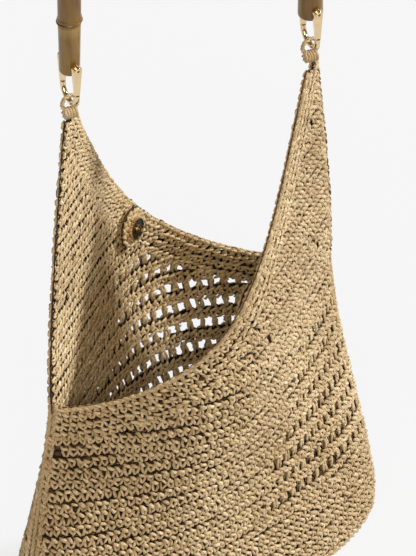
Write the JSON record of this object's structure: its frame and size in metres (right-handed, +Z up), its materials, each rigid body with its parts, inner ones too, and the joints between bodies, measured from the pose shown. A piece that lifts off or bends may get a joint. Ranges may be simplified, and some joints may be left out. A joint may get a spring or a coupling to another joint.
{
  "type": "hobo bag",
  "caption": "Crocheted raffia hobo bag with two crossing peaked walls, a bamboo arch handle on screw shackles and a magnetic snap.",
  "frame": {"origin": "underside of the bamboo arch at its middle, where the hand holds the bag", "axes": "+Z up, +X along the bag's width to its right, -Y out of the front wall"},
  "size_m": [0.3696, 0.1568, 0.6864],
  "materials": {
    "raffia": "twisted paper raffia, crocheted, dry and slightly shiny",
    "bamboo": "natural cane, scorched streaks, satin varnish",
    "gold_metal": "pale gold, polished",
    "magnet": "dark, smooth",
    "washer_steel": "plain plated steel"
  },
  "bodies": {
    "handle": {"bamboo_handle": "bamboo"},
    "left_shackle": {"left_shackle_bow": "gold_metal", "left_shackle_pin": "gold_metal", "left_shackle_screw": "gold_metal"},
    "right_shackle": {"right_shackle_bow": "gold_metal", "right_shackle_pin": "gold_metal", "right_shackle_screw": "gold_metal"},
    "left_loop": {"left_hanging_loop": "raffia"},
    "right_loop": {"right_hanging_loop": "raffia"},
    "bag": {"front_panel": "raffia", "back_panel": "raffia", "front_border": "raffia", "back_border": "raffia", "front_rim": "raffia", "back_rim": "raffia", "left_side_seam": "raffia", "right_side_seam": "raffia", "left_side_edge": "raffia", "right_side_edge": "raffia", "base_band": "raffia", "base_bottom": "raffia", "front_snap_patch": "raffia", "back_snap_patch": "raffia", "back_snap_case": "gold_metal", "back_snap_eyelet": "gold_metal", "back_snap_magnet": "magnet", "front_snap_plate": "gold_metal", "front_snap_washer": "washer_steel", "back_snap_washer": "washer_steel"}
  },
  "joints": [
    {"name": "left_shackle_swing", "type": "hinge", "parent": "handle", "child": "left_shackle", "pos_m": [-0.091, 0.035, -0.1506], "axis": [-0.2763, -0.9611, 0], "range_deg": [-40, 40]},
    {"name": "right_shackle_swing", "type": "hinge", "parent": "handle", "child": "right_shackle", "pos_m": [0.091, -0.035, -0.1506], "axis": [-0.2763, -0.9611, 0], "range_deg": [-40, 40]},
    {"name": "left_loop_turn", "type": "hinge", "parent": "left_shackle", "child": "left_loop", "pos_m": [-0.091, 0.035, -0.1851], "axis": [-0.2763, -0.9611, 0], "range_deg": [-40, 40]},
    {"name": "right_loop_turn", "type": "hinge", "parent": "right_shackle", "child": "right_loop", "pos_m": [0.091, -0.035, -0.1851], "axis": [-0.2763, -0.9611, 0], "range_deg": [-40, 40]},
    {"name": "bag_fold", "type": "hinge", "parent": "left_loop", "child": "bag", "pos_m": [-0.091, 0.035, -0.1956], "axis": [0.9333, -0.359, 0], "range_deg": [-90, 90]}
  ],
  "couplings": [
    {"joint": "right_shackle_swing", "follows": "left_shackle_swing", "ratio": 1},
    {"joint": "left_loop_turn", "follows": "left_shackle_swing", "ratio": -1},
    {"joint": "right_loop_turn", "follows": "left_shackle_swing", "ratio": -1}
  ]
}
